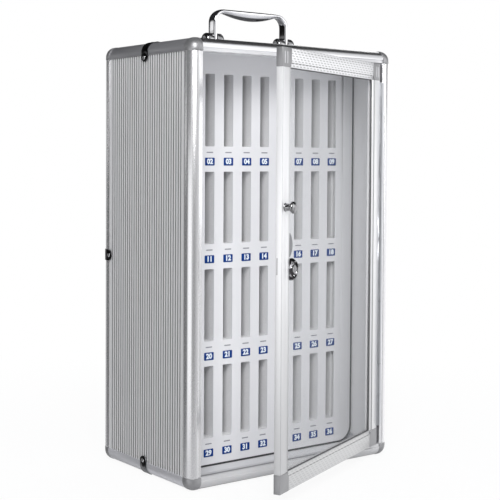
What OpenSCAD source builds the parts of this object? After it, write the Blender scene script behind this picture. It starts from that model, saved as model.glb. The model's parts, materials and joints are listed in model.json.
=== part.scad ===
// Cabinet with slots for upright storage: framed case, slotted insert,
// clear hinged door with a cam lock, and a folding bail handle on top.
// Units are millimetres. +Z up, the door faces -Y, origin at the centre of the base.

/* [Case] */
// Overall width of the case
case_width = 310; // [305:1:380]
// Overall depth of the case
case_depth = 200; // [180:1:260]
// Overall height of the case, without the handle
case_height = 520; // [515:1:640]
// Width of the edge profiles and corner pieces
trim = 15.5; // [14:0.5:18]
// Radius of the rounded outer edges
edge_radius = 12; // [6:0.5:13]
// Wall thickness of the edge profiles and panels inwards
wall = 6.2; // [5:0.1:8]
// How far the ribbed panels sit below the edge profiles
panel_recess = 1.2; // [0.6:0.1:2]
// Distance between the ribs of the panels
rib_pitch = 5.1; // [4:0.1:8]
// Depth of the grooves between the ribs
rib_depth = 0.9; // [0.4:0.1:1.5]

/* [Slots] */
// Number of slots in a row
columns = 9; // [3:1:9]
// Number of rows
rows = 4; // [1:1:4]
// Width of a slot
slot_width = 14; // [10:0.5:18]
// Height of a slot
slot_height = 88; // [60:1:100]
// Distance between slot centres across
column_pitch = 27.8; // [24:0.2:30]
// Distance between slot centres up and down
row_pitch = 118.5; // [95:0.5:120]
// Set-back of the slotted panel behind the front
recess = 66; // [40:1:90]
// Corner radius of the slotted panel
panel_corner = 20; // [5:1:30]

/* [Door] */
// Opening of the door in the stored position, in degrees
open_angle = 24; // [0:1:90]
// Thickness of the door frame
door_thickness = 7.5; // [6.5:0.5:10]
// Width of the door frame profiles with their bead
door_profile = 21; // [18:0.5:26]
// Width of the lower bead next to the pane
bead = 5; // [3:0.5:7]
// Gap above and below the closed door
door_gap = 1.5; // [1:0.1:3]
// Gap beside the free edge of the closed door
free_gap = 4.5; // [3:0.5:6]
// Thickness of the clear pane
pane = 2.5; // [2:0.1:3]
// Number of hinge knuckles, an odd number
knuckles = 11; // [5:2:15]
// Height of the pull knob above the base
knob_height = 330; // [150:1:420]
// Height of the lock above the base
lock_height = 261; // [80:1:420]
// Largest radius of the lock plate
lock_radius = 12.3; // [10:0.1:14]

/* [Handle] */
// Distance between the handle pivots
handle_span = 112; // [90:1:150]
// Height of the handle above the case
handle_rise = 48; // [40:1:60]
// Width of the handle strap front to back
handle_width = 14; // [10:1:16]
// Thickness of the handle legs
leg_thickness = 5; // [4:0.5:6]
// Thickness of the grip in the middle
grip_thickness = 10.5; // [8:0.5:12]

/* [Clips] */
// Width of the edge straps
clip_width = 13.5; // [10:0.5:16]
// Reach of the edge straps from the corner
clip_reach = 23; // [21:0.5:28]

/* [Hidden] */
$fn = 64;
hw = case_width/2;
yf = -case_depth/2;
yr = case_depth/2;
ow = hw - trim;
hinge_gap = 7;
pin_x = ow - hinge_gap/2;
pin_y = yf - 0.5;
knuckle_r = 3.1;
pin_r = 1.5;
door_l = -ow + free_gap;
door_r = ow - hinge_gap;
door_b = trim + door_gap;
door_t = case_height - trim - door_gap;
pane_front = yf + 2.5;
lock_x = door_l + door_profile + 5.5;
tray_y = yf + recess;
tray_t = 2;
in_x = hw - wall - 1.3;
in_b = wall + 1.3;
in_t = case_height - wall - 1.3;
foam_f = tray_y + tray_t;
lining_y = yr - wall - 2.5;
grid_z = case_height/2 + 2.8;
top_z = case_height - panel_recess;
axis_h = 10.5;
axis_z = top_z + axis_h;
eye_r = 6.6;
knuckle_l = 11;
handle_pin_r = 2.5;
strap = 1;
rivet_r = 2.1;
rivet_at = trim + rivet_r + 0.2;
rib_land = 3.4;
leaf_t = 1;
leaf_w = 13.5;
strike_t = 1;
strike_w = 8.5;
strike_y = yf + 6.5;
strike_down = 38;
strike_up = 20;
strike_slot_w = 4.5;
strike_slot_down = 27;
strike_slot_up = 9;
strike_screw_in = 4;
bracket_base = 2;
bracket_side = 3;
barrel_r = 8.2;
barrel_round = 4.5;
bracket_hole = 11.5;
small_screw_r = 1.2;
hinge_b = door_b + door_profile + 3;
hinge_t = door_t - door_profile - 3;
knuckle_h = (hinge_t - hinge_b)/knuckles;
bow = 6;

// ---- shared profiles ----

// square of side t with the corner at the origin rounded
module edge_square(t, r) {
  translate([r, 0]) square([t - r, t]);
  translate([0, r]) square([t, t - r]);
  intersection() {
    translate([r, r]) circle(r = r);
    square([r, r]);
  }
}
// hollow edge profile, open towards the inside of the case
module edge_angle() {
  difference() {
    edge_square(trim, edge_radius);
    translate([wall, wall]) square([trim, trim]);
  }
}
// front profile with a slightly lower strip beside the door opening; x across, y inwards
module front_profile() {
  difference() {
    edge_square(trim, edge_radius);
    translate([trim - 4, -1]) square([5, 1.8]);
  }
}
// profile run along +X, +Y or +Z: the 2D corner at the origin is the outer edge
module along_z(z0, z1) { translate([0, 0, z0]) linear_extrude(z1 - z0) children(); }
module along_y(y0, y1) { translate([0, y1, 0]) rotate([90, 0, 0]) linear_extrude(y1 - y0) children(); }
module along_x(x0, x1) { translate([x0, 0, 0]) rotate([90, 0, 90]) linear_extrude(x1 - x0) children(); }

// ribbed sheet: width along x from 0, ribs outwards along -y, body from y=0 to y=t
module rib_sheet(w, t) {
  n = floor((w - 2)/rib_pitch);
  m = (w - n*rib_pitch + (rib_pitch - rib_land))/2;
  difference() {
    square([w, t]);
    for (i = [0 : n - 2])
      translate([m + i*rib_pitch + rib_land, -1]) square([rib_pitch - rib_land, 1 + rib_depth]);
  }
}

// ---- panels ----
module side_panel() {
  translate([-hw + panel_recess, yr - trim, trim])
    rotate([0, 0, -90]) linear_extrude(case_height - 2*trim)
      rib_sheet(case_depth - 2*trim, wall - panel_recess);
}
module side_panel_left() { color([0.80, 0.81, 0.83]) side_panel(); }
module side_panel_right() { color([0.80, 0.81, 0.83]) mirror([1, 0, 0]) side_panel(); }
module back_panel() {
  color([0.80, 0.81, 0.83])
    translate([ow, yr - panel_recess, trim]) rotate([0, 0, 180])
      linear_extrude(case_height - 2*trim) rib_sheet(2*ow, wall - panel_recess);
}
module top_panel() {
  color([0.80, 0.81, 0.83]) difference() {
    translate([-ow, yf + trim, case_height - wall])
      cube([2*ow, case_depth - 2*trim, wall - panel_recess]);
    for (sx = [-1, 1], dx = [-bracket_hole, bracket_hole])
      translate([sx*handle_span/2 + dx, 0, top_z - 4]) cylinder(r = 1.2, h = 8, $fn = 24);
  }
}
module bottom_panel() {
  color([0.62, 0.63, 0.65])
    translate([-ow, yf + trim, 0]) cube([2*ow, case_depth - 2*trim, wall]);
}

// ---- edge profiles ----
module post_front() {
  translate([-hw, yf, 0]) along_z(trim, case_height - trim) front_profile();
}
module front_post_left() {
  color([0.86, 0.87, 0.88]) difference() {
    post_front();
    translate([-ow - 10, strike_y + 2.5, lock_height - strike_slot_down])
      cube([11, strike_slot_w, strike_slot_down + strike_slot_up]);
    for (z = [strike_screw_in - strike_down, strike_up - strike_screw_in])
      translate([-ow - 4, strike_y + 2.5 + strike_slot_w/2, lock_height + z])
      rotate([0, 90, 0]) cylinder(r = 1, h = 8, $fn = 24);
  }
}
module front_post_right() { color([0.86, 0.87, 0.88]) mirror([1, 0, 0]) post_front(); }
module front_rail_bottom() {
  color([0.86, 0.87, 0.88]) along_x(-ow, ow)
    translate([yf, 0]) mirror([1, -1]) front_profile();
}
module front_rail_top() {
  color([0.86, 0.87, 0.88]) translate([0, 0, case_height]) mirror([0, 0, 1])
    along_x(-ow, ow) translate([yf, 0]) mirror([1, -1]) front_profile();
}
module rear_post() {
  translate([-hw, yr, 0]) mirror([0, 1, 0]) along_z(trim, case_height - trim) edge_angle();
}
module rear_post_left() { color([0.82, 0.83, 0.85]) rear_post(); }
module rear_post_right() { color([0.82, 0.83, 0.85]) mirror([1, 0, 0]) rear_post(); }
module rear_rail() {
  translate([0, yr, 0]) mirror([0, 1, 0]) along_x(-ow, ow) edge_angle();
}
module rear_rail_bottom() { color([0.82, 0.83, 0.85]) rear_rail(); }
module rear_rail_top() {
  color([0.82, 0.83, 0.85]) translate([0, 0, case_height]) mirror([0, 0, 1]) rear_rail();
}
module side_rail() {
  translate([-hw, 0, 0]) along_y(yf + trim, yr - trim) edge_angle();
}
module side_rail_bottom_left() { color([0.70, 0.71, 0.73]) side_rail(); }
module side_rail_bottom_right() { color([0.70, 0.71, 0.73]) mirror([1, 0, 0]) side_rail(); }
module side_rail_top_left() {
  color([0.70, 0.71, 0.73]) translate([0, 0, case_height]) mirror([0, 0, 1]) side_rail();
}
module side_rail_top_right() {
  color([0.70, 0.71, 0.73]) mirror([1, 0, 0]) translate([0, 0, case_height]) mirror([0, 0, 1]) side_rail();
}

// ---- corner pieces, slightly proud of the profiles ----
module round_corner(c, r) {
  translate([r, r, r]) rotate([0, 0, 180]) rotate_extrude(angle = 90) intersection() {
    circle(r = r);
    translate([0, -r]) square([r, r]);
  }
  translate([0, 0, r]) linear_extrude(c - r) edge_square(c, r);
  translate([c, 0, 0]) rotate([0, -90, 0]) linear_extrude(c - r) edge_square(c, r);
  translate([0, c, 0]) rotate([90, 0, 0]) linear_extrude(c - r) edge_square(c, r);
}
module corner_front(proud) {
  translate([-hw - proud, yf - proud, -proud]) round_corner(trim + proud, edge_radius + proud);
}
module corner_rear(proud) {
  difference() {
    translate([-hw - proud, yr + proud, -proud]) mirror([0, 1, 0])
      round_corner(trim + proud, edge_radius + proud);
    translate([-hw + wall, yr - wall - trim, wall]) cube([trim, trim, trim]);
  }
}
module corner_pair() { corner_front(0.4); corner_rear(0.4); }
module case_corners() {
  color([0.45, 0.46, 0.48]) for (s = [0, 1]) mirror([s, 0, 0]) {
    intersection() {
      corner_pair();
      translate([-hw - 5, yf - 5, 0]) cube([60, case_depth + 10, 60]);
    }
    translate([0, 0, case_height]) mirror([0, 0, 1]) corner_pair();
  }
}

// ---- straps around the edges ----
// strap run along +Z over the corner at the origin, centred on z = 0
module edge_strap() {
  e = clip_reach - clip_width/2;
  difference() {
    union() {
      translate([0, 0, -clip_width/2]) linear_extrude(clip_width) difference() {
        translate([-strap, -strap]) edge_square(e + strap, edge_radius + strap);
        translate([-0.02, -0.02]) edge_square(60, edge_radius + 0.02);
      }
      translate([e, 0, 0]) rotate([-90, 90, 0]) translate([0, 0, -strap]) cylinder(r = clip_width/2, h = strap);
      translate([0, e, 0]) rotate([0, 90, 0]) translate([0, 0, -strap]) cylinder(r = clip_width/2, h = strap);
    }
    translate([rivet_at, -3, 0]) rotate([-90, 0, 0]) cylinder(r = rivet_r, h = 6, $fn = 32);
    translate([-3, rivet_at, 0]) rotate([0, 90, 0]) cylinder(r = rivet_r, h = 6, $fn = 32);
  }
}
module rivet() {
  // head outwards along +Z from the strap, shank down to the panel
  translate([0, 0, -strap - panel_recess]) cylinder(r = rivet_r, h = strap + panel_recess + 0.1, $fn = 32);
  intersection() {
    translate([0, 0, -4.2]) sphere(r = 5.6);
    cylinder(r = 6, h = 3);
  }
}
module edge_rivets() {
  translate([rivet_at, -strap, 0]) rotate([90, 0, 0]) rivet();
  translate([-strap, rivet_at, 0]) rotate([0, -90, 0]) rivet();
}
// places a strap run along Z onto the upper, lower and rear edges of the left side
module at_top_edge() {
  translate([-hw, 0, case_height]) mirror([0, 0, 1]) rotate([90, 0, 0]) children();
}
module at_bottom_edge() { translate([-hw, 0, 0]) rotate([90, 0, 0]) children(); }
module at_rear_edge() {
  translate([-hw, yr, case_height/2]) mirror([0, 1, 0]) children();
}
module edge_clips() {
  color([0.55, 0.56, 0.58]) for (s = [0, 1]) mirror([s, 0, 0]) {
    at_top_edge() edge_strap();
    intersection() {
      at_bottom_edge() edge_strap();
      translate([-hw - 5, -20, 0.3]) cube([edge_radius + 4, 40, 60]);
    }
    at_rear_edge() edge_strap();
  }
}
module clip_rivets() {
  color([0.75, 0.76, 0.78]) for (s = [0, 1]) mirror([s, 0, 0]) {
    at_top_edge() edge_rivets();
    intersection() {
      at_bottom_edge() edge_rivets();
      translate([-hw - 5, -20, 6]) cube([30, 40, 60]);
    }
    at_rear_edge() edge_rivets();
  }
}

// ---- slotted insert ----
function col_x(i) = (i - (columns - 1)/2)*column_pitch;
function row_z(j) = grid_z + ((rows - 1)/2 - j)*row_pitch;
module round_slot(w, h, r) {
  square([w - 2*r, h], center = true);
  square([w, h - 2*r], center = true);
  for (sx = [-1, 1], sy = [-1, 1]) translate([sx*(w/2 - r), sy*(h/2 - r)]) circle(r = r, $fn = 24);
}
field_x = (columns - 1)/2*column_pitch + slot_width/2;
flat_x = min(field_x + 2, in_x - 8);
bow_w = in_x - flat_x;
bow_drop = min(bow, bow_w*0.45);
bow_n = 5;
function bow_y(u) = bow_drop*u*u;
// plan section of the insert's face: flat in the middle, bowed back at both sides
module face_section(t) {
  front = [for (k = [0 : bow_n]) [flat_x + bow_w*k/bow_n, bow_y(k/bow_n)]];
  back = [for (k = [bow_n : -1 : 0]) [flat_x + bow_w*k/bow_n, bow_y(k/bow_n) + t]];
  left_back = [for (p = front) [-p[0], p[1] + t]];
  left_front = [for (p = back) [-p[0], p[1] - t]];
  polygon(concat(front, back, left_back, left_front));
}
module slot_panel() {
  zc = (in_b + in_t)/2;
  color([0.95, 0.95, 0.96]) intersection() {
    difference() {
      translate([0, tray_y, in_b]) linear_extrude(in_t - in_b) face_section(tray_t);
      for (i = [0 : columns - 1], j = [0 : rows - 1])
        translate([col_x(i), tray_y + tray_t + 2, row_z(j)]) rotate([90, 0, 0])
          linear_extrude(tray_t + 4) round_slot(slot_width, slot_height, 1.5);
    }
    translate([0, tray_y + 20, zc]) rotate([90, 0, 0])
      linear_extrude(40) round_slot(2*in_x, in_t - in_b, panel_corner);
  }
}
module foam_bars() {
  color([0.55, 0.56, 0.57]) {
    for (i = [0 : columns - 2])
      translate([col_x(i) + slot_width/2, foam_f, in_b])
        cube([column_pitch - slot_width, lining_y - foam_f, in_t - in_b]);
    for (s = [0, 1]) mirror([s, 0, 0])
      translate([field_x, foam_f + bow_drop, in_b])
        cube([in_x - field_x, lining_y - foam_f - bow_drop, in_t - in_b]);
  }
}
module foam_spacers() {
  color([0.50, 0.51, 0.52]) for (i = [0 : columns - 1]) {
    for (j = [0 : rows - 2])
      translate([col_x(i) - slot_width/2, foam_f, row_z(j + 1) + slot_height/2])
        cube([slot_width, lining_y - foam_f, row_pitch - slot_height]);
    translate([col_x(i) - slot_width/2, foam_f, in_b])
      cube([slot_width, lining_y - foam_f, row_z(rows - 1) - slot_height/2 - in_b]);
    translate([col_x(i) - slot_width/2, foam_f, row_z(0) + slot_height/2])
      cube([slot_width, lining_y - foam_f, in_t - row_z(0) - slot_height/2]);
  }
}
module back_lining() {
  color([0.40, 0.41, 0.42]) translate([-in_x, lining_y, in_b])
    cube([2*in_x, yr - wall - lining_y, in_t - in_b]);
}

// ---- strike on the free-side post ----
module strike_plate() {
  color([0.72, 0.73, 0.75]) difference() {
    translate([-ow, strike_y, lock_height - strike_down]) cube([strike_t, strike_w, strike_down + strike_up]);
    translate([-ow - 1, strike_y + 2.5, lock_height - strike_slot_down])
      cube([4, strike_slot_w, strike_slot_down + strike_slot_up]);
    for (z = [strike_screw_in - strike_down, strike_up - strike_screw_in])
      translate([-ow - 1, strike_y + 2.5 + strike_slot_w/2, lock_height + z])
        rotate([0, 90, 0]) cylinder(r = small_screw_r, h = 4, $fn = 24);
  }
}
module strike_screws() {
  color([0.65, 0.66, 0.68]) for (z = [strike_screw_in - strike_down, strike_up - strike_screw_in])
    translate([-ow, strike_y + 2.5 + strike_slot_w/2, lock_height + z]) rotate([0, 90, 0]) {
      translate([0, 0, -3.5]) cylinder(r = small_screw_r - 0.2, h = 3.5 + strike_t + 0.5, $fn = 24);
      translate([0, 0, strike_t]) cylinder(r = 2, h = 0.6, $fn = 32);
    }
}

// ---- hinge ----
module knuckle(k, r) {
  translate([pin_x, pin_y, hinge_b + k*knuckle_h + 0.15]) cylinder(r = r, h = knuckle_h - 0.3);
}
module knuckle_clear(k) {
  translate([pin_x, pin_y, hinge_b + k*knuckle_h - 0.3]) cylinder(r = knuckle_r + 0.4, h = knuckle_h + 0.6);
}
module hinge_bore(r) {
  translate([pin_x, pin_y, hinge_b - 5]) cylinder(r = r, h = hinge_t - hinge_b + 10, $fn = 48);
}
function screw_z(k) = hinge_b + (k + 0.5)*knuckle_h;
module hinge_leaf_case() {
  color([0.60, 0.61, 0.63]) difference() {
    union() {
      translate([ow - leaf_t, pin_y, hinge_b + 0.15]) cube([leaf_t, leaf_w, hinge_t - hinge_b - 0.3]);
      for (k = [0 : 2 : knuckles - 1]) {
        knuckle(k, knuckle_r);
        translate([pin_x, pin_y, hinge_b + k*knuckle_h + 0.15])
          cube([ow - pin_x, knuckle_r, knuckle_h - 0.3]);
      }
    }
    for (k = [1 : 2 : knuckles - 1]) knuckle_clear(k);
    hinge_bore(pin_r);
    for (k = [0 : 2 : knuckles - 1]) translate([ow - 5, pin_y + 9, screw_z(k)])
      rotate([0, 90, 0]) cylinder(r = 1, h = 8, $fn = 24);
  }
}
module hinge_pin() {
  color([0.50, 0.51, 0.53]) {
    translate([pin_x, pin_y, hinge_b - 0.8]) cylinder(r = pin_r, h = hinge_t - hinge_b + 1.6, $fn = 48);
    translate([pin_x, pin_y, hinge_b - 0.8]) cylinder(r = 2.2, h = 0.95, $fn = 48);
    translate([pin_x, pin_y, hinge_t - 0.15]) cylinder(r = 2.2, h = 0.95, $fn = 48);
  }
}
module hinge_case_screws() {
  color([0.70, 0.71, 0.73]) for (k = [0 : 2 : knuckles - 1])
    translate([ow - leaf_t, pin_y + 9, screw_z(k)]) rotate([0, -90, 0]) {
      cylinder(r = 1.9, h = 0.6, $fn = 32);
      translate([0, 0, -leaf_t]) cylinder(r = 1, h = leaf_t + 0.1, $fn = 24);
    }
}

// ---- door ----
module in_door() {
  translate([pin_x, pin_y, 0]) rotate([0, 0, open_angle]) translate([-pin_x, -pin_y, 0]) children();
}
// frame section: x from the outer edge inwards, y from the front face rearwards
module door_section() {
  difference() {
    union() {
      square([door_profile - bead, door_thickness]);
      translate([door_profile - bead - 1, 0.8]) square([bead, door_thickness - 0.8]);
      translate([door_profile - 1.2, 2]) circle(r = 1.2, $fn = 32);
      translate([door_profile - 2, 2]) square([2, door_thickness - 2]);
    }
    translate([door_profile - 5, 2.5]) square([10, pane]);
  }
}
module door_stile_free() {
  color([0.90, 0.91, 0.92]) in_door() difference() {
    translate([door_l, yf, 0]) along_z(door_b + door_profile, door_t - door_profile) door_section();
    translate([door_l + (door_profile - bead)/2 + 1, yf + door_thickness + 1, knob_height])
      rotate([90, 0, 0]) cylinder(r = 1.6, h = door_thickness + 2, $fn = 32);
  }
}
module door_stile_hinge() {
  color([0.90, 0.91, 0.92]) in_door()
    translate([door_r, yf, 0]) mirror([1, 0, 0])
      along_z(door_b + door_profile, door_t - door_profile) door_section();
}
module door_rail_bottom() {
  color([0.90, 0.91, 0.92]) in_door() translate([0, yf, door_b])
    along_x(door_l + door_profile, door_r - door_profile) mirror([1, -1]) door_section();
}
module door_rail_top() {
  color([0.90, 0.91, 0.92]) in_door() translate([0, yf, door_t]) mirror([0, 0, 1])
    along_x(door_l + door_profile, door_r - door_profile) mirror([1, -1]) door_section();
}
// corner block at the lower free corner, with a rounded notch towards the pane
module door_corner() {
  difference() {
    translate([-0.3, -0.3, -0.3]) cube([door_profile + 0.3, door_thickness + 0.6, door_profile + 0.3]);
    translate([door_profile + 1.5, -1, door_profile + 1.5]) rotate([-90, 0, 0]) cylinder(r = 5.5, h = 2.4);
    translate([door_profile - 5, 2.5, door_profile - 5]) cube([20, pane, 20]);
  }
}
module door_corners() {
  color([0.55, 0.56, 0.58]) in_door() {
    translate([door_l, yf, door_b]) door_corner();
    translate([door_r, yf, door_b]) mirror([1, 0, 0]) door_corner();
    translate([door_l, yf, door_t]) mirror([0, 0, 1]) door_corner();
    translate([door_r, yf, door_t]) mirror([0, 0, 1]) mirror([1, 0, 0]) door_corner();
  }
}
module door_pane() {
  g = door_profile - 4.8;
  color([0.85, 0.90, 0.92, 0.35]) in_door() difference() {
    translate([door_l + g, pane_front, door_b + g])
      cube([door_r - door_l - 2*g, pane, door_t - door_b - 2*g]);
    translate([lock_x, yf + 10, lock_height]) rotate([90, 0, 0]) cylinder(r = 5.1, h = 20);
  }
}
module hinge_leaf_door() {
  color([0.60, 0.61, 0.63]) in_door() difference() {
    union() {
      translate([door_r, pin_y, hinge_b + 0.15]) cube([leaf_t, door_thickness + 0.4, hinge_t - hinge_b - 0.3]);
      for (k = [1 : 2 : knuckles - 1]) {
        knuckle(k, knuckle_r);
        translate([door_r, pin_y, hinge_b + k*knuckle_h + 0.15])
          cube([pin_x - door_r, knuckle_r, knuckle_h - 0.3]);
      }
    }
    for (k = [0 : 2 : knuckles - 1]) knuckle_clear(k);
    hinge_bore(pin_r + 0.06);
    for (k = [1 : 2 : knuckles - 1]) translate([door_r - 4, pin_y + 5.6, screw_z(k)])
      rotate([0, 90, 0]) cylinder(r = 1, h = 8, $fn = 24);
  }
}
module hinge_door_screws() {
  color([0.70, 0.71, 0.73]) in_door() for (k = [1 : 2 : knuckles - 1])
    translate([door_r + leaf_t, pin_y + 5.6, screw_z(k)]) rotate([0, 90, 0]) {
      cylinder(r = 1.8, h = 0.5, $fn = 32);
      translate([0, 0, -leaf_t]) cylinder(r = 1, h = leaf_t + 0.1, $fn = 24);
    }
}
module knob() {
  color([0.80, 0.81, 0.83]) in_door()
    translate([door_l + (door_profile - bead)/2 + 1, yf, knob_height]) rotate([90, 0, 0]) difference() {
      rotate_extrude() {
        square([7, 0.9]);
        translate([0, 0.9]) square([6.4, 0.6]);
        square([3.4, 9]);
        polygon([[0, 7.2], [3.4, 7.2], [6.5, 9.4], [6.5, 11], [5.6, 12.4], [3.6, 13.1], [0, 13.4]]);
      }
      translate([0, 0, -1]) cylinder(r = 1.5, h = 7, $fn = 32);
    }
}
module knob_screw() {
  color([0.65, 0.66, 0.68]) in_door()
    translate([door_l + (door_profile - bead)/2 + 1, yf + door_thickness, knob_height]) rotate([90, 0, 0]) {
      translate([0, 0, -1.6]) cylinder(r = 3.2, h = 1.6, $fn = 48);
      cylinder(r = 1.5, h = door_thickness + 5.5, $fn = 32);
    }
}
// half-round plate seen from the front, flat side towards the stile
module lock_outline(r) {
  intersection() {
    union() { circle(r = r); translate([-6, -r]) square([6, 2*r]); }
    translate([-5.3, -20]) square([40, 40]);
  }
}
module lock_housing() {
  color([0.78, 0.79, 0.81]) in_door() translate([lock_x, pane_front, lock_height]) rotate([90, 0, 0])
    difference() {
      union() {
        linear_extrude(4) lock_outline(lock_radius);
        linear_extrude(5) lock_outline(lock_radius - 1);
        translate([0, 0, -7.6]) cylinder(r = 5, h = 8);
      }
      translate([0, 0, 3]) cylinder(r = 4.4, h = 3);
      translate([0, 0, -10]) cylinder(r = 3.5, h = 20, $fn = 48);
    }
}
module lock_nut() {
  color([0.66, 0.67, 0.69]) in_door() translate([lock_x, yf + door_thickness, lock_height]) rotate([-90, 0, 0])
    difference() { cylinder(r = 8, h = 2, $fn = 6); translate([0, 0, -1]) cylinder(r = 5, h = 5); }
}
module half_round_plate() {
  color([0.62, 0.62, 0.63]) in_door()
    translate([door_l + door_profile + 0.1, pane_front, lock_height + 2.2*lock_radius]) rotate([90, 0, 0])
      linear_extrude(1.6) intersection() {
        translate([-9.6, 0]) circle(r = 16.8, $fn = 96);
        square([20, 40], center = true);
        translate([0, -13]) square([20, 26]);
      }
}

// ---- lock plug and cam ----
module lock_plug() {
  color([0.70, 0.71, 0.73]) in_door() translate([lock_x, pane_front, lock_height]) rotate([90, 0, 0])
    difference() {
      union() {
        translate([0, 0, 3.05]) cylinder(r = 4.3, h = 2.35, $fn = 48);
        translate([0, 0, -9.3]) cylinder(r = 3.44, h = 13, $fn = 48);
      }
      translate([-0.55, -2.8, 1]) cube([1.1, 5.6, 6]);
      translate([0, 0, -12]) cylinder(r = 1.2, h = 8, $fn = 24);
    }
}
module lock_cam() {
  color([0.66, 0.67, 0.69]) in_door() translate([lock_x, pane_front + 9.3, lock_height]) rotate([-90, 0, 0])
    linear_extrude(1.6) difference() {
      union() {
        circle(r = 6);
        translate([-5, 0]) square([10, 33]);
        translate([0, 33]) circle(r = 5);
      }
      circle(r = 1.2, $fn = 24);
    }
}
module cam_screw() {
  color([0.55, 0.56, 0.58]) in_door() translate([lock_x, pane_front + 10.9, lock_height]) rotate([-90, 0, 0]) {
    cylinder(r = 3, h = 1.6, $fn = 48);
    translate([0, 0, -6]) cylinder(r = 1.2, h = 6.1, $fn = 24);
  }
}

// ---- handle ----
module barrel_end(r, l, e) {
  // barrel along +Z with a rounded outer rim
  cylinder(r = r, h = l - e);
  rotate_extrude() {
    square([r - e, l]);
    translate([r - e, l - e]) intersection() { circle(r = e); square([e, e]); }
  }
}
module bracket() {
  g = leg_thickness/2 + 0.4;
  difference() {
    union() {
      translate([-g - knuckle_l, -handle_width/2 - bracket_side, 0])
        cube([2*(g + knuckle_l), handle_width + 2*bracket_side, bracket_base]);
      for (s = [-1, 1]) {
        translate([s*g, 0, axis_h]) rotate([0, s*90, 0]) barrel_end(barrel_r, knuckle_l, barrel_round);
        translate([s > 0 ? g : -g - knuckle_l + barrel_round, -barrel_r, 0])
          cube([knuckle_l - barrel_round, 2*barrel_r, axis_h]);
      }
    }
    translate([-30, 0, axis_h]) rotate([0, 90, 0]) cylinder(r = handle_pin_r, h = 60, $fn = 48);
    for (dx = [-bracket_hole, bracket_hole]) translate([dx, 0, -1])
      cylinder(r = small_screw_r, h = bracket_base + 1.6, $fn = 24);
  }
}
module handle_brackets() {
  color([0.75, 0.76, 0.78]) for (s = [-1, 1]) translate([s*handle_span/2, 0, top_z]) bracket();
}
module handle_pins() {
  color([0.60, 0.61, 0.63]) for (s = [-1, 1]) translate([s*handle_span/2, 0, axis_z]) rotate([0, 90, 0])
    translate([0, 0, -leg_thickness/2 - 0.4 - knuckle_l + 1]) cylinder(r = handle_pin_r, h = leg_thickness + 0.8 + 2*knuckle_l - 2, $fn = 48);
}
module bracket_screws() {
  color([0.60, 0.61, 0.63]) for (s = [-1, 1], dx = [-bracket_hole, bracket_hole])
    translate([s*handle_span/2 + dx, 0, top_z - 3.5]) cylinder(r = small_screw_r, h = 3.5 + bracket_base, $fn = 24);
}
module bail_outline() {
  hx = handle_span/2;
  zt = case_height + handle_rise;
  l = leg_thickness/2;
  bo = 17;
  bi = bo - leg_thickness;
  ri = ((hx - l - bi)*(hx - l - bi) + (grip_thickness - leg_thickness)*(grip_thickness - leg_thickness))/(2*(grip_thickness - leg_thickness));
  difference() {
    union() {
      translate([-hx - l, axis_z]) square([2*(hx + l), zt - axis_z - bo]);
      translate([-hx - l + bo, axis_z]) square([2*(hx + l - bo), zt - axis_z]);
      for (s = [-1, 1]) translate([s*(hx + l - bo), zt - bo]) circle(r = bo);
    }
    translate([-hx + l, axis_z - 1]) square([2*(hx - l), zt - axis_z - bo + 1]);
    translate([-hx + l + bi, axis_z - 1]) square([2*(hx - l - bi), zt - axis_z - leg_thickness + 1]);
    for (s = [-1, 1]) translate([s*(hx - l - bi), zt - bo]) circle(r = bi);
  }
  intersection() {
    translate([0, zt - grip_thickness + ri]) circle(r = ri, $fn = 240);
    translate([-hx + l + bi, zt - grip_thickness - 1]) square([2*(hx - l - bi), grip_thickness - 1]);
  }
}
module handle_bail() {
  color([0.82, 0.83, 0.85]) difference() {
    union() {
      translate([0, handle_width/2, 0]) rotate([90, 0, 0]) linear_extrude(handle_width) bail_outline();
      for (s = [-1, 1]) translate([s*handle_span/2 - leg_thickness/2, 0, axis_z]) rotate([0, 90, 0])
        cylinder(r = handle_width/2, h = leg_thickness);
    }
    translate([-hw, 0, axis_z]) rotate([0, 90, 0]) cylinder(r = handle_pin_r + 0.06, h = case_width, $fn = 48);
  }
}

side_panel_left();
side_panel_right();
back_panel();
top_panel();
bottom_panel();
front_post_left();
front_post_right();
front_rail_top();
front_rail_bottom();
rear_post_left();
rear_post_right();
rear_rail_top();
rear_rail_bottom();
side_rail_top_left();
side_rail_top_right();
side_rail_bottom_left();
side_rail_bottom_right();
case_corners();
edge_clips();
clip_rivets();
slot_panel();
foam_bars();
foam_spacers();
back_lining();
strike_plate();
strike_screws();
hinge_leaf_case();
hinge_pin();
hinge_case_screws();
handle_brackets();
handle_pins();
bracket_screws();
door_stile_free();
door_stile_hinge();
door_rail_top();
door_rail_bottom();
door_corners();
door_pane();
hinge_leaf_door();
hinge_door_screws();
knob();
knob_screw();
lock_housing();
lock_nut();
half_round_plate();
lock_plug();
lock_cam();
cam_screw();
handle_bail();
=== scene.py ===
"""Slotted storage cabinet with a clear hinged door: the looks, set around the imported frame."""

import functools
import json
import math

import bmesh
import bpy
from mathutils import Matrix, Vector


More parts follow.
